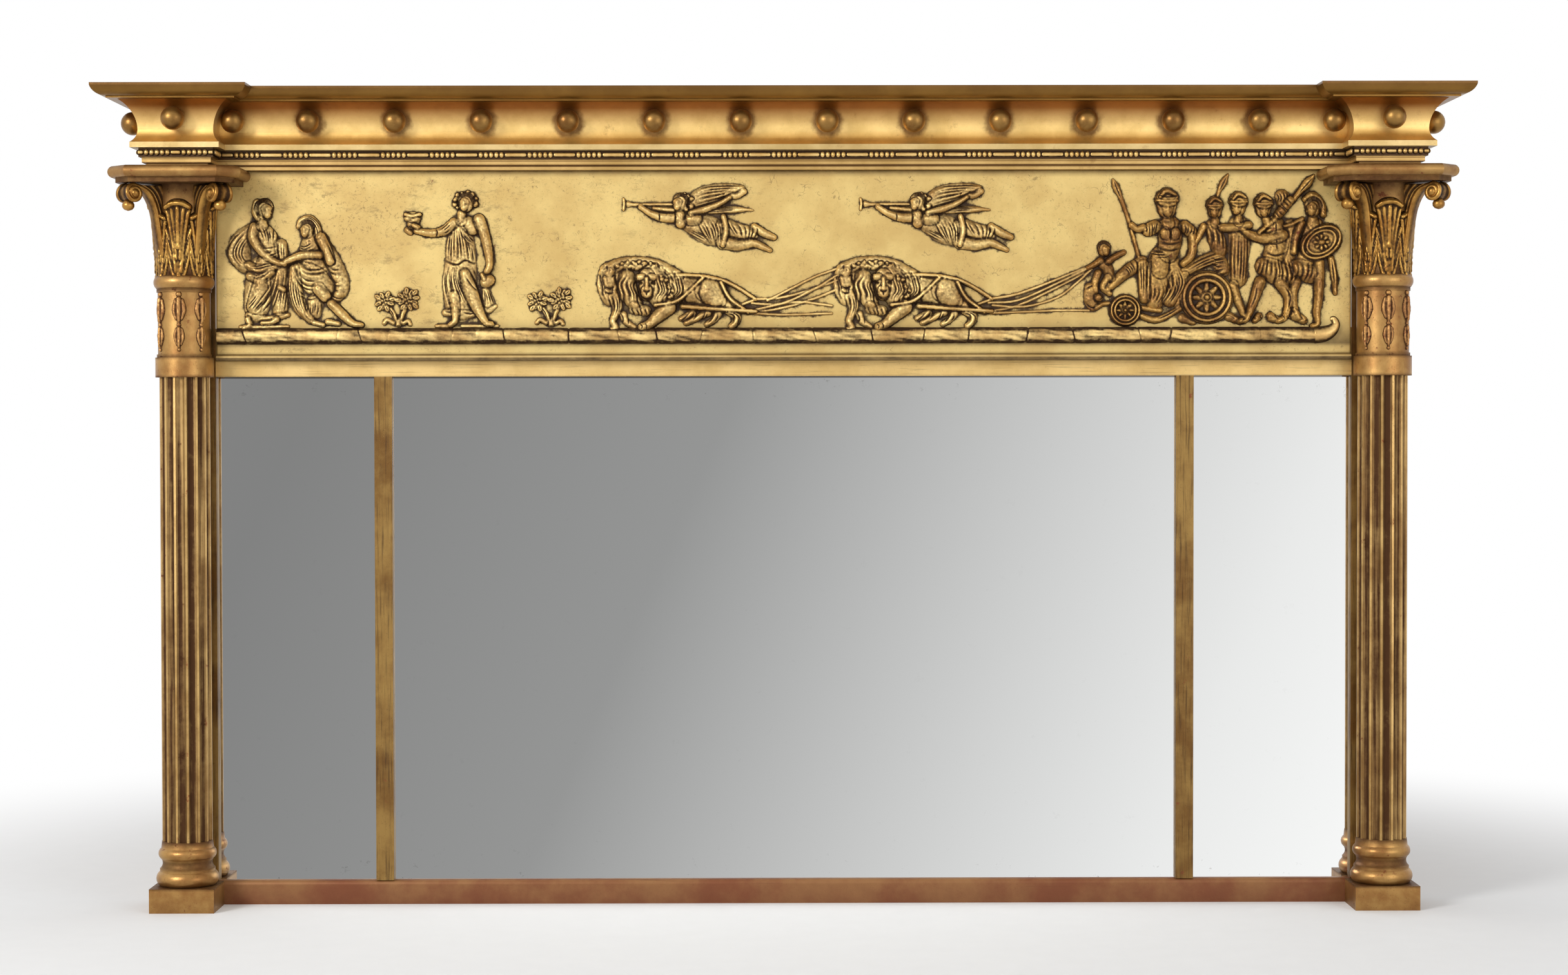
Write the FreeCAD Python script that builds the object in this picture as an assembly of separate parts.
"""Overmantel mirror: three plates under a figure frieze, between two columns that carry a breakfront cornice.

Lengths are in millimetres. X runs along the wall, Z up from the shelf, and the wall is the plane Y = 0.
Depth d is counted from the wall towards the room, so Y = -d.
"""
import math
import os

import FreeCAD
import Part
from FreeCAD import Vector

# Frame
OPENING_WIDTH = 1280.0
OPENING_HEIGHT = 569.0
STILE_WIDTH = 60.0
FRAME_DEPTH = 30.0
BOTTOM_RAIL_HEIGHT = 27.0
BOTTOM_RAIL_ROUND = 5.0
MIDDLE_RAIL_HEIGHT = 54.0
MIDDLE_RAIL_FACE = 18.0
TOP_RAIL_HEIGHT = 46.0
TENON_LENGTH = 36.0
TENON_THICKNESS = 10.0
TENON_SHOULDER = 5.0
TENON_SETBACK = 9.0
JOINT_CLEARANCE = 0.2
SIGHT_LIP = 8.0
GLASS_REBATE = 8.0
BACKBOARD_REBATE = 14.0

# Mirror plates and what holds them
PLATE_THICKNESS = 4.0
PLATE_CLEARANCE = 1.0
BACKBOARD_THICKNESS = 8.0
MULLION_CENTRE = 452.0
MULLION_WIDTH = 20.0
MULLION_TONGUE = 12.0
WEDGE_LENGTH = 40.0
WEDGE_WIDTH = 5.0
SIDE_WEDGE_SHARES = (0.2, 0.5, 0.8)
RAIL_WEDGE_SHARES = (0.12, 0.37, 0.63, 0.88)
NAIL_RADIUS = 1.0
NAIL_LENGTH = 18.0
NAIL_HEAD_RADIUS = 2.4
NAIL_HEAD_THICKNESS = 1.0
STILE_NAIL_SHARES = (0.06, 0.28, 0.5, 0.72, 0.94)
RAIL_NAIL_SHARES = (0.08, 0.36, 0.64, 0.92)

# Frieze
FRIEZE_HEIGHT = 206.0
FRIEZE_THICKNESS = 14.0
FRIEZE_END_GAP = 0.5
FRIEZE_BEAD_HEIGHT = 6.0
FRIEZE_BEAD_DEPTH = 15.0
LOG_RADIUS = 10.0
LOG_RISE = 20.0
LOG_NOTCH = 1.0
LOG_CURL_RADIUS = 9.0
LOG_SECTIONS = 18
LOG_HALF_SHARE = 0.978
RELIEF_SINK_SHARE = 0.42
RELIEF_JOINT_SHARE = 0.88
SHIELD_RISE = 8.0
WHEEL_RISE = 7.0
WHEEL_RIM_SHARE = 0.78
WHEEL_HUB_SHARE = 0.3
WHEEL_HUB_RISE = 11.0
WHEEL_SPOKE_SHARE = 0.12
WHEEL_SPOKES = 8

# Columns
COLUMN_INSET = 30.0
COLUMN_DEPTH = 54.0
PLINTH_WIDTH = 72.0
PLINTH_DEPTH = 60.0
PLINTH_HEIGHT = 27.0
BASE_HEIGHT = 50.0
BASE_TORUS_RADIUS = 34.5
BASE_TORUS_HEIGHT = 16.0
BASE_FILLET_RADIUS = 30.5
BASE_FILLET_HEIGHT = 3.0
BASE_SCOTIA_RADIUS = 27.5
BASE_SCOTIA_HEIGHT = 11.0
BASE_UPPER_RADIUS = 32.0
BASE_UPPER_HEIGHT = 12.0
SHAFT_RADIUS = 28.0
FLUTES = 14
FLUTE_DEPTH = 3.2
FLUTE_LAND_SHARE = 0.2
COLLAR_RADIUS = 32.0
COLLAR_HEIGHT = 22.0
DRUM_RADIUS = 29.0
DRUM_HEIGHT = 76.0
DRUM_FILLET_RADIUS = 30.2
DRUM_FILLET_HEIGHT = 3.5
ASTRAGAL_RADIUS = 33.5
ASTRAGAL_HEIGHT = 15.0
HUSK_ANGLES = (-50.0, 0.0, 50.0)
HUSK_BEAD_RADIUS = 3.2
HUSK_WIDTH = 15.0
HUSK_SPAN_SHARES = ((0.14, 0.52, 1.0), (0.54, 0.9, 0.8))
HUSK_BEAD_SHARE = 0.09
HUSK_GAP = 0.1
DOWEL_RADIUS = 5.0
DOWEL_LENGTH = 24.0

# Capitals
BELL_HEIGHT = 100.0
BELL_FOOT_RADIUS = 28.0
BELL_HEAD_RADIUS = 35.0
LEAF_THICKNESS = 4.0
LEAF_CURL = 10.0
LEAF_HEIGHT = 78.0
LEAF_WIDTH = 34.0
SIDE_LEAF_HEIGHT = 56.0
LEAF_ANGLES = (-90.0, 0.0, 90.0)
SIDE_LEAF_ANGLES = (-45.0, 45.0)
LEAF_LOBE_SHARES = (
    (0.34, 0.0), ((0.5, 0.13), (0.38, 0.27)), ((0.52, 0.42), (0.37, 0.54)),
    ((0.48, 0.68), (0.28, 0.78)), ((0.24, 0.93), (0.0, 1.0)))
VOLUTE_ANGLES = (-45.0, 45.0)
VOLUTE_RADIUS = 9.5
VOLUTE_WIDTH = 20.0
VOLUTE_REACH = 78.0
VOLUTE_EYE_RADIUS = 3.0
VOLUTE_EYE_RISE = 1.5
STEM_WIDTH = 13.0
STEM_FOOT_SHARE = 0.1
STEM_BELLY_SHARES = (0.5, 0.45)
STEM_END_SHARE = 0.8
DROP_RADIUS = 5.0
ABACUS_HEIGHT = 18.0
ABACUS_HALF = 73.0
ABACUS_CANT_SHARE = 1.2
ABACUS_FILLET_HEIGHT = 5.5
ABACUS_STEP = 8.0

# Cornice
MAIN_FACE_DEPTH = 53.0
BLOCK_HALF = 34.0
BED_FILLET_HEIGHT = 5.0
BED_FILLET_STEP = 4.0
BED_SECOND_HEIGHT = 6.0
BEAD_GROUND = 7.0
BEAD_COURSE_HEIGHT = 10.0
LIP_OUT = 15.0
LIP_HEIGHT = 6.0
COVE_HEIGHT = 46.0
COVE_DEEP_OUT = 7.6
COVE_DEEP_RISE = 14.0
COVE_HEAD_OUT = 25.6
COVE_BACK_DEPTH = 30.0
CORONA_HEIGHT = 15.0
CORONA_FILLET_OUT = 36.0
CORONA_FILLET_HEIGHT = 2.0
CORONA_FOOT_OUT = 37.3
CORONA_TOP_OUT = 50.6
CORONA_EDGE = 2.5
CORONA_BELLY_SHARES = (0.67, 0.33)
CORONA_SEAT_OUT = 18.0
DUST_BOARD_THICKNESS = 10.0
BALL_RADIUS = 13.0
BALL_SINK = 0.7
BALL_RISE = 25.0
BALLS_MAIN = 12
BALL_SPACING = 96.0
BALL_END_X = 611.0
SIDE_BALL_DEPTH = 52.0
PIN_RADIUS = 1.25
PIN_LENGTH = 20.0
BEAD_PERIOD = 53.6
BEAD_NECK_RADIUS = 1.6
BEAD_BAR_RADIUS = 2.2
BEAD_GAP = 0.4
BEAD_SHARES = ((0.10, 0.9), (0.11, 0.7), (0.17, 1.0), (0.11, 0.7), (0.10, 0.9))
BEAD_RADIUS = 3.4
BEAD_BAR_SHARE = 0.35
GLUE_BLOCK_LEG = 24.0
GLUE_BLOCK_LENGTH = 60.0
GLUE_BLOCK_SHARES = (-0.85, -0.51, -0.17, 0.17, 0.51, 0.85)

# Hangers on the back
HANGER_HEIGHT_SHARE = 0.85
HANGER_LENGTH = 56.0
HANGER_WIDTH = 26.0
HANGER_THICKNESS = 2.0
HANGER_HOLE_RADIUS = 5.0
HANGER_POCKET_RADIUS = 9.0
HANGER_POCKET_DEPTH = 14.0
HANGER_SCREW_SPACING = 40.0
SCREW_RADIUS = 1.8
SCREW_HEAD_RADIUS = 3.6
SCREW_LENGTH = 18.0

OVERRUN = 5.0

# Levels and places that follow from the sizes above
SIGHT_BOTTOM = BOTTOM_RAIL_HEIGHT
SIGHT_TOP = SIGHT_BOTTOM + OPENING_HEIGHT
BEAD_FOOT = SIGHT_TOP + MIDDLE_RAIL_FACE
FRIEZE_FOOT = BEAD_FOOT + FRIEZE_BEAD_HEIGHT
CORNICE_FOOT = FRIEZE_FOOT + FRIEZE_HEIGHT
LIP_FOOT = CORNICE_FOOT + BED_FILLET_HEIGHT + BED_SECOND_HEIGHT + BEAD_COURSE_HEIGHT
COVE_FOOT = LIP_FOOT + LIP_HEIGHT
CORONA_FOOT = COVE_FOOT + COVE_HEIGHT
TOP = CORONA_FOOT + CORONA_HEIGHT
HALF_OPENING = OPENING_WIDTH / 2
COLUMN_X = HALF_OPENING + COLUMN_INSET
BLOCK_FACE_DEPTH = COLUMN_DEPTH + BLOCK_HALF
GLASS_FRONT = FRAME_DEPTH - SIGHT_LIP
GLASS_BACK = GLASS_FRONT - PLATE_THICKNESS
FRIEZE_FACE = FRAME_DEPTH + FRIEZE_THICKNESS
FRIEZE_HALF = COLUMN_X - ASTRAGAL_RADIUS - FRIEZE_END_GAP
ABACUS_FOOT = CORNICE_FOOT - ABACUS_HEIGHT
BELL_FOOT = ABACUS_FOOT - BELL_HEIGHT
NECK_FOOT = BELL_FOOT - ASTRAGAL_HEIGHT - DRUM_HEIGHT - COLLAR_HEIGHT
SHAFT_FOOT = PLINTH_HEIGHT + BASE_HEIGHT
BALL_LEVEL = COVE_FOOT + BALL_RISE
REACH = COLUMN_X + STILE_WIDTH + ABACUS_HALF
SIDES = (-1, 1)
PAIRED_ORNAMENT = ("necking_husks", "capital_leaves", "capital_volutes")


def at(x, d, z):
    """Point at x along the wall, d in front of it and z above the shelf."""
    return Vector(x, -d, z)


def block(x0, x1, d0, d1, z0, z1):
    return Part.makeBox(x1 - x0, d1 - d0, z1 - z0, at(x0, d1, z0))


def face(points, place):
    """Closed face through points. An item (middle, end) is an arc, a plain point ends a straight edge."""
    edges = []
    last = points[0]
    for item in list(points[1:]) + [points[0]]:
        if isinstance(item[0], tuple):
            edges.append(Part.Arc(place(*last), place(*item[0]), place(*item[1])).toShape())
            last = item[1]
        elif item != last:
            edges.append(Part.makeLine(place(*last), place(*item)))
            last = item
    return Part.Face(Part.Wire(edges))


def along_x(points, x0, x1):
    """Moulding with the section points (d, z), running from x0 to x1."""
    return face(points, lambda d, z: at(x0, d, z)).extrude(Vector(x1 - x0, 0, 0))


def turned(points, x=COLUMN_X, d=COLUMN_DEPTH):
    """Turned piece with the half section points (r, z) about the upright axis at x, d."""
    return face(points, lambda r, z: at(x + r, d, z)).revolve(at(x, d, 0), Vector(0, 0, 1), 360)


def rod(x, d, z, direction, radius, length):
    return Part.makeCylinder(radius, length, at(x, d, z), Vector(direction[0], -direction[1], direction[2]))


def moved(shape, x, d, z):
    copy = shape.copy()
    copy.translate(at(x, d, z))
    return copy


def turned_about_column(shape, angle):
    copy = shape.copy()
    copy.rotate(at(COLUMN_X, COLUMN_DEPTH, 0), Vector(0, 0, 1), angle)
    return copy


def mirrored(shape):
    return shape.mirror(Vector(0, 0, 0), Vector(1, 0, 0))


def swing(upright, end):
    """Middle point of the arc that leaves the point upright vertically and reaches the point end."""
    out = end[0] - upright[0]
    rise = end[1] - upright[1]
    radius = (out * out + rise * rise) / (2 * abs(out))
    half_angle = math.atan2(abs(rise), radius - abs(out)) / 2
    return (upright[0] + math.copysign(radius - radius * math.cos(half_angle), out),
            upright[1] + math.copysign(radius * math.sin(half_angle), rise))


def moulded(profile, x, d, sides):
    """Slab whose edge has the profile (out, z), mitred round the sides (angle, distance) about x, d."""
    slab = None
    for angle, distance in sides:
        turn = math.radians(angle)

        def place(out, z):
            return at(x + out * math.sin(turn) - REACH * math.cos(turn),
                      d + out * math.cos(turn) + REACH * math.sin(turn), z)

        def shifted(item):
            return (item[0] + distance, item[1])

        points = [(-REACH, profile[0][1])]
        for item in profile:
            if isinstance(item[0], tuple):
                points.append((shifted(item[0]), shifted(item[1])))
            else:
                points.append(shifted(item))
        last = profile[-1][1] if isinstance(profile[-1][0], tuple) else profile[-1]
        points.append((-REACH, last[1]))
        run = Vector(2 * REACH * math.cos(turn), 2 * REACH * math.sin(turn), 0)
        side = face(points, place).extrude(run)
        slab = side if slab is None else slab.common(side)
    return slab


def in_front_of(depth):
    return block(-2 * REACH, 2 * REACH, depth, REACH, -REACH, 2 * REACH)


# Frame members

def rail(foot, height, tenon_foot, tenon_top):
    """Rail between the stiles with a tenon at each end."""
    bar = block(-HALF_OPENING, HALF_OPENING, 0, FRAME_DEPTH, foot, foot + height)
    half = HALF_OPENING + TENON_LENGTH
    return bar.fuse(block(-half, half, TENON_SETBACK, TENON_SETBACK + TENON_THICKNESS, tenon_foot, tenon_top))


def mortise(tenon_foot, tenon_top):
    """Room for both tenons of a rail."""
    half = HALF_OPENING + TENON_LENGTH + JOINT_CLEARANCE
    return block(-half, half, TENON_SETBACK - JOINT_CLEARANCE,
                 TENON_SETBACK + TENON_THICKNESS + JOINT_CLEARANCE,
                 tenon_foot - JOINT_CLEARANCE, tenon_top + JOINT_CLEARANCE)


def tenon_levels():
    bottom = (TENON_SHOULDER, BOTTOM_RAIL_HEIGHT - GLASS_REBATE - TENON_SHOULDER / 2)
    middle = (SIGHT_TOP + BACKBOARD_REBATE + TENON_SHOULDER, SIGHT_TOP + MIDDLE_RAIL_HEIGHT - TENON_SHOULDER)
    top = (CORNICE_FOOT - TOP_RAIL_HEIGHT + TENON_SHOULDER, CORNICE_FOOT - TENON_SHOULDER)
    return bottom, middle, top


def plate_rebates():
    """Stepped room behind the sight edge: the plates in front, the backboards behind."""
    glass = block(-HALF_OPENING - GLASS_REBATE, HALF_OPENING + GLASS_REBATE, -OVERRUN, GLASS_FRONT,
                  SIGHT_BOTTOM - GLASS_REBATE, SIGHT_TOP + GLASS_REBATE)
    boards = block(-HALF_OPENING - BACKBOARD_REBATE, HALF_OPENING + BACKBOARD_REBATE,
                   -OVERRUN, BACKBOARD_THICKNESS, SIGHT_BOTTOM - BACKBOARD_REBATE, SIGHT_TOP + BACKBOARD_REBATE)
    return glass.fuse(boards)


def bottom_rail():
    bar = rail(0, BOTTOM_RAIL_HEIGHT, *tenon_levels()[0])
    edge = FRAME_DEPTH - BOTTOM_RAIL_ROUND
    shoulder = BOTTOM_RAIL_HEIGHT - BOTTOM_RAIL_ROUND
    bend = BOTTOM_RAIL_ROUND * math.sqrt(0.5)
    waste = [(edge, BOTTOM_RAIL_HEIGHT), ((edge + bend, shoulder + bend), (FRAME_DEPTH, shoulder)),
             (FRAME_DEPTH + OVERRUN, shoulder), (FRAME_DEPTH + OVERRUN, BOTTOM_RAIL_HEIGHT + OVERRUN),
             (edge, BOTTOM_RAIL_HEIGHT + OVERRUN)]
    return bar.cut(along_x(waste, -REACH, REACH)).cut(plate_rebates())


def middle_rail():
    return rail(SIGHT_TOP, MIDDLE_RAIL_HEIGHT, *tenon_levels()[1]).cut(plate_rebates())


def top_rail():
    return rail(CORNICE_FOOT - TOP_RAIL_HEIGHT, TOP_RAIL_HEIGHT, *tenon_levels()[2])


def stile(side):
    post = block(HALF_OPENING, HALF_OPENING + STILE_WIDTH, 0, FRAME_DEPTH, 0, CORNICE_FOOT)
    post = post.cut(plate_rebates())
    for levels in tenon_levels():
        post = post.cut(mortise(*levels))
    return post if side > 0 else mirrored(post)


def mullion(side):
    """Bar with a front lip over two plates and a tongue between them that runs on behind the rails."""
    x = side * MULLION_CENTRE
    lip = block(x - MULLION_WIDTH / 2, x + MULLION_WIDTH / 2, GLASS_FRONT, FRAME_DEPTH, SIGHT_BOTTOM, SIGHT_TOP)
    tongue = block(x - MULLION_TONGUE / 2, x + MULLION_TONGUE / 2, BACKBOARD_THICKNESS, GLASS_FRONT,
                   SIGHT_BOTTOM - GLASS_REBATE, SIGHT_TOP + GLASS_REBATE)
    return lip.fuse(tongue)


# Plates, wedges, backboards and nails

def plate_spans():
    """Left and right edges of the three plates."""
    outer = HALF_OPENING + GLASS_REBATE - PLATE_CLEARANCE
    inner = MULLION_CENTRE + MULLION_TONGUE / 2 + PLATE_CLEARANCE
    centre = MULLION_CENTRE - MULLION_TONGUE / 2 - PLATE_CLEARANCE
    return (-outer, -inner), (-centre, centre), (inner, outer)


def plate(span):
    return block(span[0], span[1], GLASS_BACK, GLASS_FRONT,
                 SIGHT_BOTTOM - GLASS_REBATE + PLATE_CLEARANCE, SIGHT_TOP + GLASS_REBATE - PLATE_CLEARANCE)


def board_spans():
    outer = HALF_OPENING + BACKBOARD_REBATE - PLATE_CLEARANCE
    edge = PLATE_CLEARANCE / 2
    return ((-outer, -MULLION_CENTRE - edge), (-MULLION_CENTRE + edge, MULLION_CENTRE - edge),
            (MULLION_CENTRE + edge, outer))


def backboard(span):
    return block(span[0], span[1], 0, BACKBOARD_THICKNESS,
                 SIGHT_BOTTOM - BACKBOARD_REBATE + PLATE_CLEARANCE, SIGHT_TOP + BACKBOARD_REBATE - PLATE_CLEARANCE)


def plate_wedges():
    """Small blocks in the rebates that hold the plates forward."""
    wedges = []
    low = SIGHT_BOTTOM - GLASS_REBATE
    high = SIGHT_TOP + GLASS_REBATE
    for side in SIDES:
        outer = side * (HALF_OPENING + GLASS_REBATE)
        x0, x1 = sorted((outer, outer - side * WEDGE_WIDTH))
        for share in SIDE_WEDGE_SHARES:
            z = SIGHT_BOTTOM + share * OPENING_HEIGHT - WEDGE_LENGTH / 2
            wedges.append(block(x0, x1, BACKBOARD_THICKNESS, GLASS_BACK, z, z + WEDGE_LENGTH))
    half = MULLION_CENTRE - MULLION_TONGUE / 2
    for share in RAIL_WEDGE_SHARES:
        x = -half + share * 2 * half - WEDGE_LENGTH / 2
        for foot in (low, high - WEDGE_WIDTH):
            wedges.append(block(x, x + WEDGE_LENGTH, BACKBOARD_THICKNESS, GLASS_BACK, foot, foot + WEDGE_WIDTH))
    return Part.makeCompound(wedges)


def nail(x, z):
    shank = rod(x, 0, z, (0, 1, 0), NAIL_RADIUS, NAIL_LENGTH)
    return shank.fuse(rod(x, 0, z, (0, 1, 0), NAIL_HEAD_RADIUS, NAIL_HEAD_THICKNESS))


def backboard_nails():
    inset = (GLASS_REBATE + BACKBOARD_REBATE) / 2
    nails = []
    for side in SIDES:
        for share in STILE_NAIL_SHARES:
            nails.append(nail(side * (HALF_OPENING + inset), SIGHT_BOTTOM + share * OPENING_HEIGHT))
    for share in RAIL_NAIL_SHARES:
        x = -MULLION_CENTRE + share * 2 * MULLION_CENTRE
        nails.append(nail(x, SIGHT_BOTTOM - inset))
        nails.append(nail(x, SIGHT_TOP + inset))
    return Part.makeCompound(nails)


# Frieze

def frieze_board():
    return block(-FRIEZE_HALF, FRIEZE_HALF, FRAME_DEPTH, FRIEZE_FACE, FRIEZE_FOOT, CORNICE_FOOT)


def frieze_bead():
    """Half round nosing on a square strip under the frieze board."""
    nose = FRAME_DEPTH + FRIEZE_BEAD_DEPTH
    bulge = (nose + FRIEZE_BEAD_HEIGHT / 2, (BEAD_FOOT + FRIEZE_FOOT) / 2)
    section = [(FRAME_DEPTH, BEAD_FOOT), (nose, BEAD_FOOT), (bulge, (nose, FRIEZE_FOOT)), (FRAME_DEPTH, FRIEZE_FOOT)]
    return along_x(section, -FRIEZE_HALF, FRIEZE_HALF)


def log_line():
    """Half round log of many sections under the figures, with a curled right end."""
    half = LOG_HALF_SHARE * FRIEZE_HALF
    step = 2 * half / LOG_SECTIONS
    points = [(-half, 0), (-half, LOG_RADIUS - LOG_NOTCH)]
    for number in range(LOG_SECTIONS):
        x = -half + number * step
        points.append((x + LOG_NOTCH, LOG_RADIUS))
        points.append((x + step - LOG_NOTCH, LOG_RADIUS))
        points.append((x + step, LOG_RADIUS - LOG_NOTCH))
    points.append((half, 0))
    depth = FRIEZE_FACE - RELIEF_SINK_SHARE * LOG_RADIUS
    level = FRIEZE_FOOT + LOG_RISE
    log = face(points, lambda x, r: at(x, depth, level + r)).revolve(at(0, depth, level), Vector(1, 0, 0), 360)
    curl = Part.makeSphere(LOG_CURL_RADIUS, at(half, FRIEZE_FACE, level + LOG_RADIUS / 2))
    return log.fuse(curl).common(in_front_of(FRIEZE_FACE))


def limb(start, end):
    """Tapered round limb from start to end, each (x, d, z, radius), with round ends."""
    first = at(*start[:3])
    axis = at(*end[:3]) - first
    length = axis.Length
    r0 = start[3]
    r1 = end[3]
    if length <= abs(r0 - r1):
        return Part.makeSphere(max(r0, r1), first if r0 > r1 else at(*end[:3]))
    lean = math.asin((r0 - r1) / length)
    bend0 = (math.pi / 2 + lean) / 2
    bend1 = (math.pi / 2 - lean) / 2
    points = [(-r0, 0),
              ((-r0 * math.cos(bend0), r0 * math.sin(bend0)), (r0 * math.sin(lean), r0 * math.cos(lean))),
              (length + r1 * math.sin(lean), r1 * math.cos(lean)),
              ((length + r1 * math.cos(bend1), r1 * math.sin(bend1)), (length + r1, 0))]
    solid = face(points, lambda a, r: Vector(r, 0, a)).revolve(Vector(0, 0, 0), Vector(0, 0, 1), 360)
    solid.Placement = FreeCAD.Placement(first, FreeCAD.Rotation(Vector(0, 0, 1), axis))
    return solid


def relief(place_share, chains):
    """Applied relief at place_share of the half frieze: chains of limbs in shares of the frieze height."""
    solids = []
    for chain in chains:
        spots = []
        for across, up, radius in chain:
            r = radius * FRIEZE_HEIGHT
            spots.append((place_share * FRIEZE_HALF + across * FRIEZE_HEIGHT,
                          FRIEZE_FACE - RELIEF_SINK_SHARE * r, FRIEZE_FOOT + up * FRIEZE_HEIGHT, r))
        if len(spots) == 1:
            solids.append(Part.makeSphere(spots[0][3], at(*spots[0][:3])))
        for number, (first, second) in enumerate(zip(spots, spots[1:])):
            root = first if number == 0 else first[:3] + (first[3] * RELIEF_JOINT_SHARE,)
            solids.append(limb(root, second))
    whole = solids[0].fuse(solids[1:]) if len(solids) > 1 else solids[0]
    return whole.common(in_front_of(FRIEZE_FACE))


def repeated(place_shares, chains):
    return Part.makeCompound([relief(share, chains) for share in place_shares])


def disc(place_share, across, up, radius_share, rise):
    """Flat round piece standing on the frieze board."""
    return rod(place_share * FRIEZE_HALF + across * FRIEZE_HEIGHT, FRIEZE_FACE, FRIEZE_FOOT + up * FRIEZE_HEIGHT,
               (0, 1, 0), radius_share * FRIEZE_HEIGHT, rise)


def wheel(place_share, across, up, radius_share):
    """Chariot wheel: rim, spokes and hub."""
    rim = disc(place_share, across, up, radius_share, WHEEL_RISE)
    rim = rim.cut(disc(place_share, across, up, radius_share * WHEEL_RIM_SHARE, WHEEL_RISE))
    hub = disc(place_share, across, up, radius_share * WHEEL_HUB_SHARE, WHEEL_HUB_RISE)
    x = place_share * FRIEZE_HALF + across * FRIEZE_HEIGHT
    z = FRIEZE_FOOT + up * FRIEZE_HEIGHT
    radius = radius_share * FRIEZE_HEIGHT
    half = radius * WHEEL_SPOKE_SHARE / 2
    spokes = []
    for number in range(WHEEL_SPOKES):
        spoke = block(x - half, x + half, FRIEZE_FACE, FRIEZE_FACE + WHEEL_RISE / 2,
                      z, z + radius * (1 + WHEEL_RIM_SHARE) / 2)
        spoke.rotate(at(x, 0, z), Vector(0, 1, 0), number * 360 / WHEEL_SPOKES)
        spokes.append(spoke)
    return rim.fuse([hub] + spokes)


COUPLE_SHARE = -0.867
COUPLE_SHARES = (
    ((-0.15, 0.79, 0.055), (-0.13, 0.76, 0.055), (-0.15, 0.66, 0.075), (-0.15, 0.51, 0.085),
     (-0.16, 0.44, 0.095), (-0.16, 0.23, 0.08)),
    ((-0.21, 0.68, 0.05), (-0.27, 0.55, 0.07), (-0.22, 0.46, 0.05)),
    ((-0.08, 0.45, 0.05), (-0.1, 0.22, 0.05)),
    ((-0.21, 0.17, 0.02), (-0.1, 0.17, 0.02)),
    ((-0.19, 0.65, 0.036), (-0.155, 0.555, 0.034), (-0.08, 0.49, 0.028)),
    ((0.08, 0.72, 0.05), (0.08, 0.67, 0.055), (0.085, 0.6, 0.09), (0.1, 0.5, 0.085),
     (0.09, 0.44, 0.085), (0.17, 0.35, 0.08)),
    ((0.16, 0.62, 0.04), (0.2, 0.54, 0.05), (0.265, 0.38, 0.05)),
    ((0.173, 0.32, 0.04), (0.3, 0.19, 0.03), (0.345, 0.16, 0.024)),
    ((0.02, 0.41, 0.06), (0.07, 0.2, 0.05)),
    ((0.1, 0.3, 0.06), (0.13, 0.2, 0.045)))
BEARER_SHARE = -0.565
BEARER_SHARES = (
    ((0.0, 0.83, 0.062), (0.01, 0.8, 0.06), (0.035, 0.7, 0.075), (-0.01, 0.54, 0.085),
     (-0.01, 0.45, 0.088), (-0.03, 0.3, 0.05)),
    ((-0.07, 0.55, 0.05), (-0.085, 0.39, 0.05), (-0.06, 0.22, 0.045)),
    ((-0.04, 0.31, 0.03), (-0.035, 0.18, 0.022)),
    ((0.017, 0.4, 0.045), (0.063, 0.27, 0.033), (0.105, 0.18, 0.024)),
    ((0.07, 0.46, 0.03), (0.09, 0.33, 0.025), (0.127, 0.25, 0.045)),
    ((-0.05, 0.7, 0.045), (-0.115, 0.665, 0.035), (-0.26, 0.665, 0.026)),
    ((-0.275, 0.76, 0.042), (-0.275, 0.7, 0.036), (-0.275, 0.66, 0.03)),
    ((0.098, 0.7, 0.04), (0.127, 0.595, 0.032), (0.132, 0.46, 0.025), (0.132, 0.405, 0.04)))
BUSH_PLACE_SHARES = (-0.689, -0.41)
BUSH_SHARES = (
    ((-0.014, 0.155, 0.021), (-0.06, 0.24, 0.018), (-0.1, 0.3, 0.045)),
    ((0.016, 0.158, 0.02), (0.05, 0.24, 0.017), (0.085, 0.31, 0.044)),
    ((-0.07, 0.15, 0.024), (0.08, 0.148, 0.026)))
TRUMPETER_PLACE_SHARES = (-0.149, 0.27)
TRUMPETER_SHARES = (
    ((-0.4, 0.805, 0.025), (-0.36, 0.805, 0.014), (-0.14, 0.805, 0.012)),
    ((-0.12, 0.735, 0.034), (-0.22, 0.735, 0.028), (-0.32, 0.79, 0.018)),
    ((-0.1, 0.82, 0.055), (-0.095, 0.8, 0.055), (-0.06, 0.72, 0.058), (0.07, 0.65, 0.066),
     (0.125, 0.61, 0.055), (0.29, 0.6, 0.036), (0.37, 0.57, 0.022)),
    ((0.12, 0.66, 0.055), (0.2, 0.68, 0.045), (0.3, 0.655, 0.038), (0.39, 0.635, 0.022)),
    ((-0.03, 0.8, 0.05), (0.09, 0.855, 0.062), (0.23, 0.895, 0.03)),
    ((-0.02, 0.77, 0.02), (0.17, 0.825, 0.016)),
    ((0.05, 0.755, 0.018), (0.23, 0.775, 0.016)))
LION_PLACE_SHARES = (-0.21, 0.207)
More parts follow.
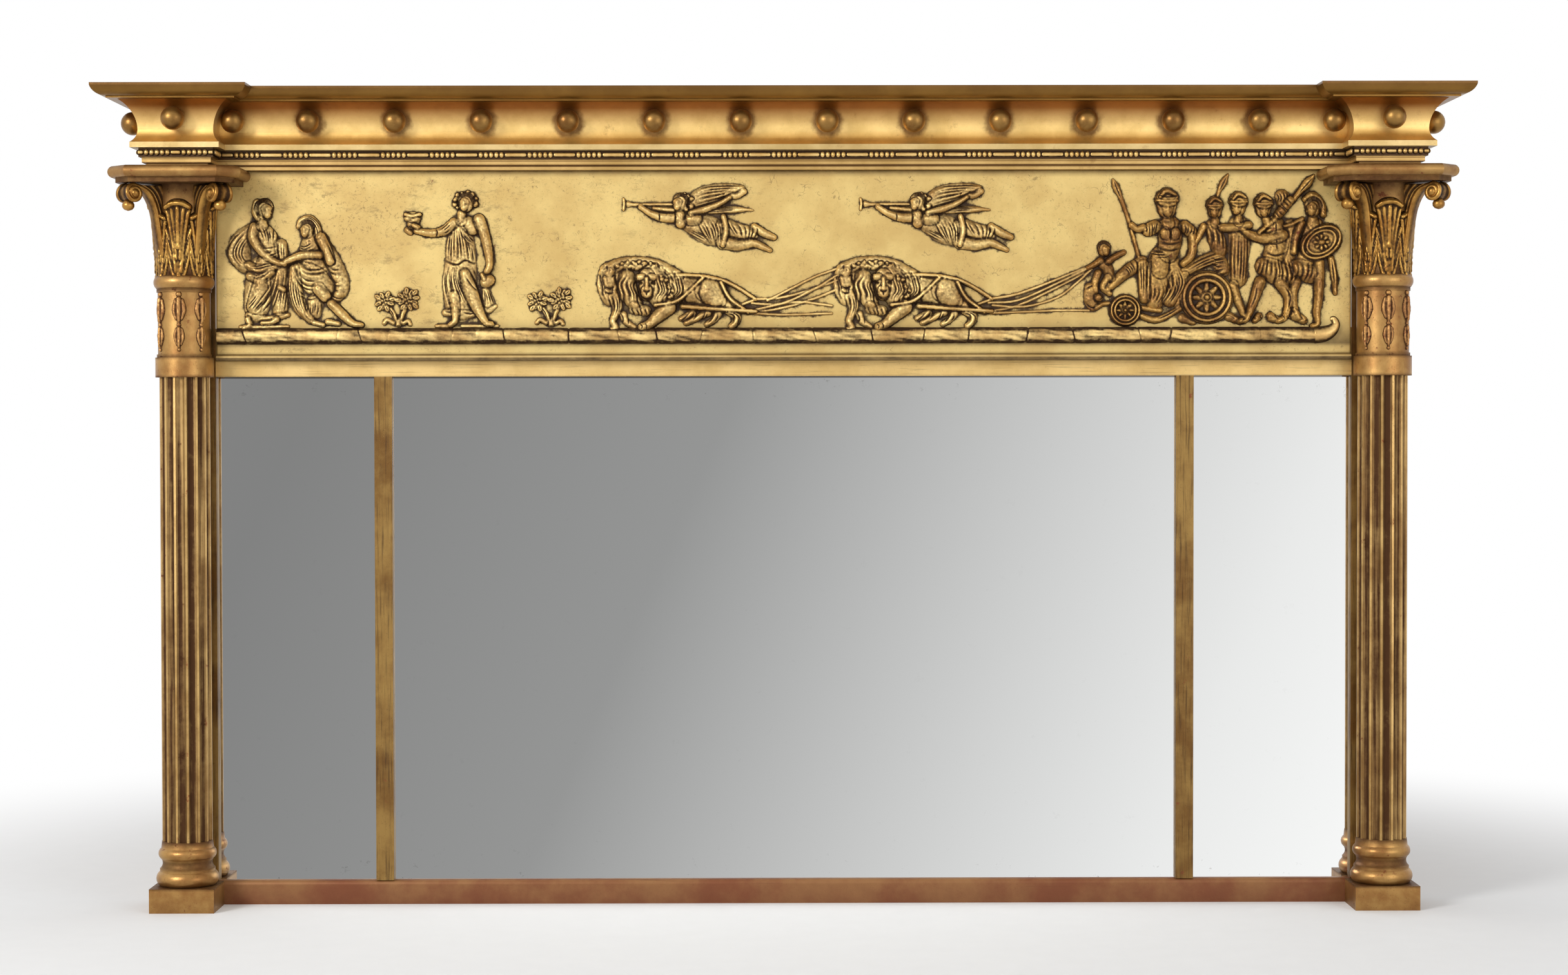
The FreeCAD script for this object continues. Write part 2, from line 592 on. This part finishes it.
LION_SHARES = (
    ((-0.31, 0.41, 0.062), (-0.23, 0.455, 0.068), (-0.13, 0.45, 0.065), (0.0, 0.41, 0.06)),
    ((-0.3, 0.36, 0.05), (-0.265, 0.29, 0.034), (-0.272, 0.19, 0.022), (-0.3, 0.165, 0.02)),
    ((-0.2, 0.27, 0.05), (-0.1, 0.26, 0.055)),
    ((-0.1, 0.36, 0.064), (-0.035, 0.375, 0.095), (0.04, 0.35, 0.088), (0.23, 0.335, 0.09),
     (0.3, 0.29, 0.065), (0.33, 0.22, 0.036), (0.37, 0.165, 0.026)),
    ((-0.06, 0.3, 0.07), (0.02, 0.235, 0.045), (-0.1, 0.165, 0.03)),
    ((0.2, 0.25, 0.04), (0.25, 0.19, 0.03)),
    ((0.22, 0.42, 0.012), (0.32, 0.38, 0.012), (0.425, 0.23, 0.012)))
TRACE_SHARES = (
    ((-0.03, 0.42, 0.008), (0.04, 0.365, 0.008), (0.12, 0.345, 0.008)),
    ((-0.02, 0.235, 0.009), (0.12, 0.232, 0.009)))
TRACE_PLACE_SHARES = (0.0, 0.39)
CHARIOT_SHARE = 0.68
CHARIOT_SHARES = (
    ((0.13, 0.44, 0.07), (0.28, 0.5, 0.075), (0.29, 0.44, 0.06)),
    ((-0.43, 0.33, 0.05), (-0.41, 0.27, 0.05), (-0.3, 0.28, 0.045), (-0.12, 0.24, 0.03), (0.05, 0.24, 0.03)),
    ((-0.47, 0.22, 0.02), (-0.32, 0.22, 0.02)))
CHARIOT_WHEEL_SHARES = ((0.196, 0.304, 0.13), (-0.237, 0.235, 0.08))
RIDER_SHARES = (
    ((-0.012, 0.83, 0.062), (-0.01, 0.78, 0.062), (0.0, 0.65, 0.085), (0.0, 0.56, 0.085),
     (-0.025, 0.48, 0.1), (-0.04, 0.39, 0.085), (-0.03, 0.31, 0.07)),
    ((-0.06, 0.69, 0.05), (-0.12, 0.675, 0.045), (-0.19, 0.675, 0.03)),
    ((0.06, 0.68, 0.045), (0.107, 0.65, 0.04), (0.125, 0.58, 0.03), (0.09, 0.49, 0.024)),
    ((-0.12, 0.45, 0.06), (-0.125, 0.29, 0.035)),
    ((-0.12, 0.47, 0.055), (-0.2, 0.46, 0.05), (-0.255, 0.395, 0.05)),
    ((-0.298, 0.92, 0.02), (-0.28, 0.87, 0.016), (-0.17, 0.55, 0.013)),
    ((-0.344, 0.565, 0.045), (-0.325, 0.5, 0.045), (-0.3, 0.43, 0.05)),
    ((-0.32, 0.5, 0.025), (-0.4, 0.49, 0.02)))
SOLDIERS_SHARE = 0.871
SOLDIERS_SHARES = (
    ((-0.255, 0.94, 0.018), (-0.3, 0.84, 0.016)),
    ((-0.332, 0.78, 0.048), (-0.326, 0.65, 0.058), (-0.31, 0.6, 0.05)),
    ((-0.202, 0.805, 0.057), (-0.196, 0.67, 0.072), (-0.2, 0.45, 0.07), (-0.17, 0.3, 0.045), (-0.2, 0.2, 0.03)),
    ((-0.06, 0.79, 0.055), (-0.015, 0.66, 0.07), (-0.045, 0.51, 0.075), (-0.01, 0.42, 0.08),
     (0.01, 0.36, 0.045), (0.08, 0.26, 0.03), (0.06, 0.18, 0.02)),
    ((-0.06, 0.42, 0.06), (-0.085, 0.39, 0.05), (-0.12, 0.27, 0.034), (-0.16, 0.19, 0.022)),
    ((-0.148, 0.62, 0.03), (0.012, 0.61, 0.04)),
    ((-0.1, 0.64, 0.013), (0.15, 0.9, 0.014), (0.196, 0.945, 0.016)),
    ((0.05, 0.85, 0.045), (0.0, 0.8, 0.04)),
    ((0.202, 0.81, 0.06), (0.196, 0.68, 0.07), (0.196, 0.53, 0.07), (0.184, 0.45, 0.08), (0.23, 0.39, 0.04),
     (0.226, 0.29, 0.03), (0.214, 0.18, 0.02)),
    ((0.297, 0.46, 0.03), (0.309, 0.33, 0.016)),
    ((0.12, 0.65, 0.035), (0.1, 0.55, 0.03), (0.14, 0.46, 0.025)))
SHIELD_SHARES = (0.255, 0.594, 0.088)


def frieze_reliefs():
    """All applied figures. Each later group is fitted round the ones before it."""
    log = log_line()
    chariot = relief(CHARIOT_SHARE, CHARIOT_SHARES)
    wheels = [wheel(CHARIOT_SHARE, *shares) for shares in CHARIOT_WHEEL_SHARES]
    shield = disc(SOLDIERS_SHARE, *SHIELD_SHARES, SHIELD_RISE)
    groups = {
        "frieze_ground_log": log,
        "relief_chariot": chariot.fuse(wheels),
        "relief_chariot_rider": relief(CHARIOT_SHARE, RIDER_SHARES),
        "relief_soldiers": relief(SOLDIERS_SHARE, SOLDIERS_SHARES).fuse(shield),
        "relief_robed_couple": relief(COUPLE_SHARE, COUPLE_SHARES),
        "relief_cup_bearer": relief(BEARER_SHARE, BEARER_SHARES),
        "relief_bushes": repeated(BUSH_PLACE_SHARES, BUSH_SHARES),
        "relief_trumpeters": repeated(TRUMPETER_PLACE_SHARES, TRUMPETER_SHARES),
        "relief_lion_pairs": repeated(LION_PLACE_SHARES, LION_SHARES),
        "relief_traces": repeated(TRACE_PLACE_SHARES, TRACE_SHARES),
    }
    done = []
    for name, shape in groups.items():
        for other in done:
            if shape.BoundBox.intersect(other.BoundBox):
                shape = shape.cut(other)
        groups[name] = shape
        done.append(shape)
    return groups


# Columns. Each piece is made for the right column and mirrored for the left.

def plinth():
    half = PLINTH_WIDTH / 2
    return block(COLUMN_X - half, COLUMN_X + half, FRAME_DEPTH, FRAME_DEPTH + PLINTH_DEPTH, 0, PLINTH_HEIGHT)


def column_base():
    """Attic base: large torus, fillet, scotia, smaller torus and a slope up to the shaft."""
    torus_top = PLINTH_HEIGHT + BASE_TORUS_HEIGHT
    fillet_top = torus_top + BASE_FILLET_HEIGHT
    scotia_top = fillet_top + BASE_SCOTIA_HEIGHT
    upper_top = scotia_top + BASE_UPPER_HEIGHT
    torus_foot = BASE_TORUS_RADIUS - BASE_TORUS_HEIGHT / 4
    upper_foot = BASE_UPPER_RADIUS - BASE_UPPER_HEIGHT / 4
    points = [(0, PLINTH_HEIGHT), (torus_foot, PLINTH_HEIGHT),
              ((BASE_TORUS_RADIUS, (PLINTH_HEIGHT + torus_top) / 2), (torus_foot, torus_top)),
              (BASE_FILLET_RADIUS, torus_top), (BASE_FILLET_RADIUS, fillet_top),
              ((BASE_SCOTIA_RADIUS, (fillet_top + scotia_top) / 2), (upper_foot, scotia_top)),
              ((BASE_UPPER_RADIUS, (scotia_top + upper_top) / 2), (upper_foot, upper_top)),
              (SHAFT_RADIUS, SHAFT_FOOT), (0, SHAFT_FOOT)]
    return turned(points).common(in_front_of(FRAME_DEPTH))


def column_shaft():
    """Straight fluted shaft: hollow flutes with narrow lands between them."""
    pitch = 2 * math.pi / FLUTES
    land = pitch * FLUTE_LAND_SHARE / 2

    def spot(angle, radius):
        return at(COLUMN_X + radius * math.sin(angle), COLUMN_DEPTH + radius * math.cos(angle), SHAFT_FOOT)

    edges = []
    for number in range(FLUTES):
        start = (number + 0.5) * pitch
        edges.append(Part.Arc(spot(start - land, SHAFT_RADIUS), spot(start, SHAFT_RADIUS),
                              spot(start + land, SHAFT_RADIUS)).toShape())
        edges.append(Part.Arc(spot(start + land, SHAFT_RADIUS), spot(start + pitch / 2, SHAFT_RADIUS - FLUTE_DEPTH),
                              spot(start + pitch - land, SHAFT_RADIUS)).toShape())
    shaft = Part.Face(Part.Wire(edges)).extrude(Vector(0, 0, NECK_FOOT - SHAFT_FOOT))
    return shaft.common(in_front_of(FRAME_DEPTH))


def column_necking():
    """Turned necking: plain collar, drum between fillets and an astragal on top."""
    collar_top = NECK_FOOT + COLLAR_HEIGHT
    drum_foot = collar_top + DRUM_FILLET_HEIGHT
    drum_top = collar_top + DRUM_HEIGHT - DRUM_FILLET_HEIGHT
    astragal_foot = collar_top + DRUM_HEIGHT
    astragal_edge = ASTRAGAL_RADIUS - ASTRAGAL_HEIGHT / 4
    points = [(0, NECK_FOOT), (COLLAR_RADIUS, NECK_FOOT), (COLLAR_RADIUS, collar_top),
              (DRUM_FILLET_RADIUS, collar_top), (DRUM_FILLET_RADIUS, drum_foot), (DRUM_RADIUS, drum_foot),
              (DRUM_RADIUS, drum_top), (DRUM_FILLET_RADIUS, drum_top), (DRUM_FILLET_RADIUS, astragal_foot),
              (astragal_edge, astragal_foot),
              ((ASTRAGAL_RADIUS, (astragal_foot + BELL_FOOT) / 2), (astragal_edge, BELL_FOOT)), (0, BELL_FOOT)]
    return turned(points).common(in_front_of(FRAME_DEPTH))


def necking_husks():
    """Strings of husks hung on the necking: a bead, then a larger and a smaller husk."""
    foot = NECK_FOOT + COLLAR_HEIGHT
    drum = rod(COLUMN_X, COLUMN_DEPTH, foot, (0, 0, 1), DRUM_RADIUS + HUSK_GAP, DRUM_HEIGHT)
    depth = COLUMN_DEPTH + DRUM_RADIUS
    bead_level = foot + DRUM_HEIGHT * (1 - HUSK_BEAD_SHARE)
    string = [Part.makeSphere(HUSK_BEAD_RADIUS, at(COLUMN_X, depth, bead_level))]
    for start, end, width in HUSK_SPAN_SHARES:
        top = foot + DRUM_HEIGHT * (1 - start)
        low = foot + DRUM_HEIGHT * (1 - end)
        middle = (width * HUSK_WIDTH / 2, (top + low) / 2)
        string.append(turned([(0, top), (middle, (0, low))], COLUMN_X, depth))
    husks = []
    for angle in HUSK_ANGLES:
        for piece in string:
            husks.append(turned_about_column(piece.cut(drum), angle))
    return Part.makeCompound(husks)


def bell_profile(extra_foot, extra_head, height):
    foot = (BELL_FOOT_RADIUS + extra_foot, BELL_FOOT)
    head = (BELL_HEAD_RADIUS + extra_head, BELL_FOOT + height)
    return [(0, BELL_FOOT), foot, (swing(foot, head), head), (0, BELL_FOOT + height)]


def capital_bell():
    return turned(bell_profile(0, 0, BELL_HEIGHT)).common(in_front_of(FRAME_DEPTH))


def leaf(height, curl, bell):
    """Lobed acanthus leaf that lies on the bell and leans out towards its tip."""
    right = []
    for item in LEAF_LOBE_SHARES:
        if isinstance(item[0], tuple):
            right.append(tuple((COLUMN_X + w * LEAF_WIDTH, BELL_FOOT + h * height) for w, h in item))
        else:
            right.append((COLUMN_X + item[0] * LEAF_WIDTH, BELL_FOOT + item[1] * height))
    left = []
    ends = [item[1] if isinstance(item[0], tuple) else item for item in right]
    for number in range(len(right) - 1, 0, -1):
        middle = right[number][0]
        end = ends[number - 1]
        left.append(((2 * COLUMN_X - middle[0], middle[1]), (2 * COLUMN_X - end[0], end[1])))
    outline = face(right + left, lambda x, z: at(x, COLUMN_DEPTH, z))
    prism = outline.extrude(at(0, ABACUS_HALF, 0))
    shell = turned(bell_profile(LEAF_THICKNESS, LEAF_THICKNESS + curl, height))
    return prism.common(shell).cut(bell)


def stem_outline():
    """Side view of a corner stem that leans out from the bell to carry the volute."""
    foot = (BELL_FOOT_RADIUS, BELL_FOOT + STEM_FOOT_SHARE * BELL_HEIGHT)
    end = (VOLUTE_REACH, BELL_FOOT + STEM_END_SHARE * BELL_HEIGHT)
    belly = (BELL_FOOT_RADIUS + STEM_BELLY_SHARES[0] * (VOLUTE_REACH - BELL_FOOT_RADIUS) / 2,
             BELL_FOOT + STEM_BELLY_SHARES[1] * BELL_HEIGHT)
    return [(0, foot[1]), foot, (belly, end), (VOLUTE_REACH, ABACUS_FOOT), (0, ABACUS_FOOT)]


def volute(bell):
    """Corner stem with its scroll, a raised eye on each side and a small drop under it."""
    half = STEM_WIDTH / 2
    stem = face(stem_outline(), lambda r, z: at(COLUMN_X - half, COLUMN_DEPTH + r, z))
    stem = stem.extrude(Vector(STEM_WIDTH, 0, 0))
    depth = COLUMN_DEPTH + VOLUTE_REACH
    level = ABACUS_FOOT - VOLUTE_RADIUS
    scroll = rod(COLUMN_X - VOLUTE_WIDTH / 2, depth, level, (1, 0, 0), VOLUTE_RADIUS, VOLUTE_WIDTH)
    eye_length = VOLUTE_WIDTH + 2 * VOLUTE_EYE_RISE
    eye = rod(COLUMN_X - eye_length / 2, depth, level, (1, 0, 0), VOLUTE_EYE_RADIUS, eye_length)
    drop = Part.makeSphere(DROP_RADIUS, at(COLUMN_X, depth - VOLUTE_RADIUS / 2, level - VOLUTE_RADIUS))
    whole = stem.fuse([scroll, eye, drop]).cut(bell)
    return whole.common(block(-REACH, REACH, 0, REACH, 0, ABACUS_FOOT))


def capital_volutes(bell):
    corner = volute(bell)
    return Part.makeCompound([turned_about_column(corner, angle) for angle in VOLUTE_ANGLES])


def capital_leaves(bell, volutes):
    tall = leaf(LEAF_HEIGHT, LEAF_CURL, bell)
    low = leaf(SIDE_LEAF_HEIGHT, LEAF_CURL, bell)
    wall = in_front_of(FRAME_DEPTH)
    leaves = []
    for angles, shape in ((LEAF_ANGLES, tall), (SIDE_LEAF_ANGLES, low)):
        for angle in angles:
            fitted = turned_about_column(shape, angle).common(wall).cut([volutes, frieze_board()])
            for other in leaves:
                fitted = fitted.cut(other)
            leaves.append(fitted)
    return Part.makeCompound(leaves)


def abacus():
    """Moulded cap with canted front corners over the volutes."""
    fillet_top = ABACUS_FOOT + ABACUS_FILLET_HEIGHT
    profile = [(-ABACUS_STEP, ABACUS_FOOT), (-ABACUS_STEP, fillet_top), (-ABACUS_STEP / 2, fillet_top),
               ((0, (fillet_top + CORNICE_FOOT) / 2), (-ABACUS_STEP / 2, CORNICE_FOOT))]
    cant = ABACUS_HALF * ABACUS_CANT_SHARE
    sides = [(0, ABACUS_HALF), (90, ABACUS_HALF), (-90, ABACUS_HALF), (45, cant), (-45, cant)]
    return moulded(profile, COLUMN_X, COLUMN_DEPTH, sides).common(in_front_of(FRAME_DEPTH)).cut(frieze_board())


def dowel(level):
    return rod(COLUMN_X, COLUMN_DEPTH, level - DOWEL_LENGTH / 2, (0, 0, 1), DOWEL_RADIUS, DOWEL_LENGTH)


def column_parts():
    """The right column from plinth to abacus, and the dowels between its pieces."""
    bell = capital_bell()
    volutes = capital_volutes(bell)
    parts = {"plinth": plinth(), "column_base": column_base(), "column_shaft": column_shaft(),
             "column_necking": column_necking(), "necking_husks": necking_husks(), "capital_bell": bell,
             "capital_leaves": capital_leaves(bell, volutes), "capital_volutes": volutes, "abacus": abacus()}
    dowels = [dowel(level) for level in (PLINTH_HEIGHT, SHAFT_FOOT, NECK_FOOT, BELL_FOOT)]
    for name in ("plinth", "column_base", "column_shaft", "column_necking", "capital_bell"):
        for pin in dowels:
            parts[name] = parts[name].cut(pin)
    return parts, dowels


# Cornice

def cornice_layers():
    """Edge profiles of the bed moulding, cove and corona, from the fascia outwards."""
    second = CORNICE_FOOT + BED_FILLET_HEIGHT
    ground = second + BED_SECOND_HEIGHT
    bed = [(0, CORNICE_FOOT), (0, second), (BED_FILLET_STEP, second), (BED_FILLET_STEP, ground),
           (BEAD_GROUND, ground), (BEAD_GROUND, LIP_FOOT), (LIP_OUT, LIP_FOOT), (LIP_OUT, COVE_FOOT)]
    lip = (LIP_OUT, COVE_FOOT)
    deep = (COVE_DEEP_OUT, COVE_FOOT + COVE_DEEP_RISE)
    head = (COVE_HEAD_OUT, CORONA_FOOT)
    cove = [lip, (swing(deep, lip), deep), (swing(deep, head), head)]
    fillet = CORONA_FOOT + CORONA_FILLET_HEIGHT
    edge = (CORONA_TOP_OUT, TOP - CORONA_EDGE)
    foot = (CORONA_FOOT_OUT, fillet)
    belly = (foot[0] + CORONA_BELLY_SHARES[0] * (edge[0] - foot[0]),
             foot[1] + CORONA_BELLY_SHARES[1] * (edge[1] - foot[1]))
    corona = [(CORONA_FILLET_OUT, CORONA_FOOT), (CORONA_FILLET_OUT, fillet), foot, (belly, edge),
              (CORONA_TOP_OUT, TOP)]
    return {"bed_mould": bed, "cove": cove, "corona": corona}


def dust_board_plan(foot, top):
    """Board that closes the cornice on top, with the same breaks over the columns."""
    half = BLOCK_HALF + CORONA_SEAT_OUT
    board = block(-COLUMN_X, COLUMN_X, 0, MAIN_FACE_DEPTH + CORONA_SEAT_OUT, foot, top)
    for side in SIDES:
        x = side * COLUMN_X
        board = board.fuse(block(x - half, x + half, 0, BLOCK_FACE_DEPTH + CORONA_SEAT_OUT, foot, top))
    return board.removeSplitter()


def ball_out():
    """How far in front of the fascia a ball lies when it rests in the cove."""
    out = COVE_HEAD_OUT - COVE_DEEP_OUT
    rise = COVE_HEIGHT - COVE_DEEP_RISE
    radius = (out * out + rise * rise) / (2 * out)
    lift = BALL_RISE - COVE_DEEP_RISE
    return COVE_DEEP_OUT + radius - math.sqrt((radius - BALL_RADIUS) ** 2 - lift * lift) - BALL_SINK


def ball_seats():
    """Places of the balls with the direction of the fascia under each: (x, d, out x, out d)."""
    out = ball_out()
    seats = []
    for number in range(BALLS_MAIN):
        x = (number - (BALLS_MAIN - 1) / 2) * BALL_SPACING
        seats.append((x, MAIN_FACE_DEPTH + out, 0, 1))
    for side in SIDES:
        seats.append((side * BALL_END_X, MAIN_FACE_DEPTH + out, 0, 1))
        seats.append((side * COLUMN_X, BLOCK_FACE_DEPTH + out, 0, 1))
        seats.append((side * (COLUMN_X + BLOCK_HALF + out), SIDE_BALL_DEPTH, side, 0))
    return seats


def bead_run(length):
    """Half round bead and reel along X, flat at the back, centred on the origin."""
    periods = max(1, round(length / BEAD_PERIOD))
    period = length / periods
    points = [(-length / 2, 0), (-length / 2, BEAD_BAR_RADIUS)]
    for number in range(periods):
        x = -length / 2 + number * period + BEAD_BAR_SHARE * period / 2
        points.append((x, BEAD_BAR_RADIUS))
        points.append((x, BEAD_NECK_RADIUS))
        for span, size in BEAD_SHARES:
            middle = (x + span * period / 2, size * BEAD_RADIUS)
            x = x + span * period
            points.append((middle, (x, BEAD_NECK_RADIUS)))
        points.append((x, BEAD_BAR_RADIUS))
    points.append((length / 2, BEAD_BAR_RADIUS))
    points.append((length / 2, 0))
    return face(points, lambda x, r: at(x, 0, r)).revolve(at(0, 0, 0), Vector(1, 0, 0), 180)


def bead_level():
    return LIP_FOOT - BEAD_COURSE_HEIGHT / 2


def main_bead_strip():
    half = COLUMN_X - BLOCK_HALF - BEAD_GROUND - BEAD_RADIUS - BEAD_GAP
    return moved(bead_run(2 * half), 0, MAIN_FACE_DEPTH + BEAD_GROUND, bead_level())


def end_bead_strip():
    """Beads round the right block: front, outer side and the short return to the main run."""
    half = BLOCK_HALF + BEAD_GROUND
    front = moved(bead_run(2 * half), COLUMN_X, BLOCK_FACE_DEPTH + BEAD_GROUND, bead_level())
    outer = bead_run(BLOCK_FACE_DEPTH + BEAD_GROUND)
    outer.rotate(at(0, 0, 0), Vector(0, 0, 1), 90)
    outer = moved(outer, COLUMN_X + half, (BLOCK_FACE_DEPTH + BEAD_GROUND) / 2, bead_level())
    start = MAIN_FACE_DEPTH + BEAD_GROUND
    inner = bead_run(BLOCK_FACE_DEPTH + BEAD_GROUND - start)
    inner.rotate(at(0, 0, 0), Vector(0, 0, 1), -90)
    inner = moved(inner, COLUMN_X - half, (BLOCK_FACE_DEPTH + BEAD_GROUND + start) / 2, bead_level())
    return Part.makeCompound([front, outer, inner])


def cornice_glue_blocks():
    corner = [(COVE_BACK_DEPTH, COVE_FOOT), (COVE_BACK_DEPTH, COVE_FOOT + GLUE_BLOCK_LEG),
              (COVE_BACK_DEPTH - GLUE_BLOCK_LEG, COVE_FOOT)]
    half = COLUMN_X - BLOCK_HALF - COVE_HEAD_OUT - GLUE_BLOCK_LENGTH / 2
    blocks = []
    for share in GLUE_BLOCK_SHARES:
        x = share * half
        blocks.append(along_x(corner, x - GLUE_BLOCK_LENGTH / 2, x + GLUE_BLOCK_LENGTH / 2))
    return Part.makeCompound(blocks)


def cornice_parts():
    parts = {}
    backs = {"bed_mould": 0, "cove": COVE_BACK_DEPTH, "corona": 0}
    seat = dust_board_plan(CORONA_FOOT, TOP)
    sides = [(0, BLOCK_HALF), (90, BLOCK_HALF), (-90, BLOCK_HALF)]
    for name, profile in cornice_layers().items():
        end = moulded(profile, COLUMN_X, COLUMN_DEPTH, sides).common(in_front_of(0))
        other = mirrored(end)
        main = moulded(profile, 0, 0, [(0, MAIN_FACE_DEPTH)]).common(in_front_of(backs[name]))
        main = main.common(block(-COLUMN_X, COLUMN_X, 0, REACH, 0, TOP)).cut(end).cut(other)
        if name == "corona":
            main, end, other = main.cut(seat), end.cut(seat), other.cut(seat)
        parts["main_" + name] = main
        parts["right_" + name] = end
        parts["left_" + name] = other
    parts["cornice_dust_board"] = dust_board_plan(CORONA_FOOT, CORONA_FOOT + DUST_BOARD_THICKNESS)
    balls = []
    pins = []
    coves = ("main_cove", "left_cove", "right_cove")
    for x, d, out_x, out_d in ball_seats():
        start = -PIN_LENGTH / 2 - BALL_RADIUS / 2
        pins.append(rod(x + out_x * start, d + out_d * start, BALL_LEVEL, (out_x, out_d, 0), PIN_RADIUS, PIN_LENGTH))
        ball = Part.makeSphere(BALL_RADIUS, at(x, d, BALL_LEVEL))
        for cove in coves:
            if ball.BoundBox.intersect(parts[cove].BoundBox):
                ball = ball.cut(parts[cove])
        balls.append(ball.cut(pins[-1]))
    all_pins = Part.makeCompound(pins)
    for cove in coves:
        parts[cove] = parts[cove].cut(all_pins)
    parts["cornice_balls"] = Part.makeCompound(balls)
    parts["ball_pins"] = all_pins
    parts["main_bead_strip"] = main_bead_strip()
    parts["end_bead_strips"] = both(end_bead_strip())
    parts["cornice_glue_blocks"] = cornice_glue_blocks()
    return parts


# Hangers

def hanger_level():
    return HANGER_HEIGHT_SHARE * CORNICE_FOOT


def hanger_plate():
    """Steel plate let in flush with the back of the right stile, with a round hole for a wall hook."""
    z = hanger_level()
    flat = block(COLUMN_X - HANGER_WIDTH / 2, COLUMN_X + HANGER_WIDTH / 2, 0, HANGER_THICKNESS,
                 z - HANGER_LENGTH / 2, z + HANGER_LENGTH / 2)
    return flat


def hanger_screw(side):
    z = hanger_level() + side * HANGER_SCREW_SPACING / 2
    shank = rod(COLUMN_X, 0, z, (0, 1, 0), SCREW_RADIUS, SCREW_LENGTH)
    return shank.fuse(rod(COLUMN_X, 0, z, (0, 1, 0), SCREW_HEAD_RADIUS, HANGER_THICKNESS))


def hanger_parts():
    flat = hanger_plate()
    hole = rod(COLUMN_X, -OVERRUN, hanger_level(), (0, 1, 0), HANGER_HOLE_RADIUS, HANGER_THICKNESS + 2 * OVERRUN)
    pocket = rod(COLUMN_X, 0, hanger_level(), (0, 1, 0), HANGER_POCKET_RADIUS, HANGER_POCKET_DEPTH)
    screws = Part.makeCompound([hanger_screw(side) for side in SIDES])
    recess = flat.fuse(pocket)
    return flat.cut(hole).cut(screws), screws, recess


def both(shape):
    return Part.makeCompound([shape, mirrored(shape)])


def build():
    nodes = {}
    nails = backboard_nails()
    flat, screws, recess = hanger_parts()
    nodes["bottom_rail"] = bottom_rail().cut(nails)
    nodes["middle_rail"] = middle_rail().cut(nails)
    nodes["top_rail"] = top_rail()
    for side, label in zip(SIDES, ("left", "right")):
        cuts = [recess, screws] if side > 0 else [mirrored(recess), mirrored(screws)]
        nodes[label + "_stile"] = stile(side).cut(nails).cut(cuts)
        nodes[label + "_mullion"] = mullion(side).cut(nodes["bottom_rail"])
    for label, span in zip(("left", "centre", "right"), plate_spans()):
        nodes[label + "_mirror_plate"] = plate(span)
    boards = [backboard(span).cut(nails) for span in board_spans()]
    nodes["centre_backboard"] = boards[1]
    nodes["side_backboards"] = Part.makeCompound([boards[0], boards[2]])
    nodes["plate_wedges"] = plate_wedges()
    nodes["backboard_nails"] = nails
    nodes["hanger_plates"] = both(flat)
    nodes["hanger_screws"] = both(screws)
    nodes["frieze_board"] = frieze_board()
    nodes["frieze_bead_moulding"] = frieze_bead()
    nodes.update(frieze_reliefs())
    parts, dowels = column_parts()
    for name, shape in parts.items():
        if name in PAIRED_ORNAMENT:
            nodes[name] = both(shape)
        else:
            nodes["right_" + name] = shape
            nodes["left_" + name] = mirrored(shape)
    nodes["column_dowels"] = both(Part.makeCompound(dowels))
    nodes.update(cornice_parts())
    return nodes


os.makedirs("parts", exist_ok=True)
for node, solid in build().items():
    solid.exportStep("parts/" + node + ".step")
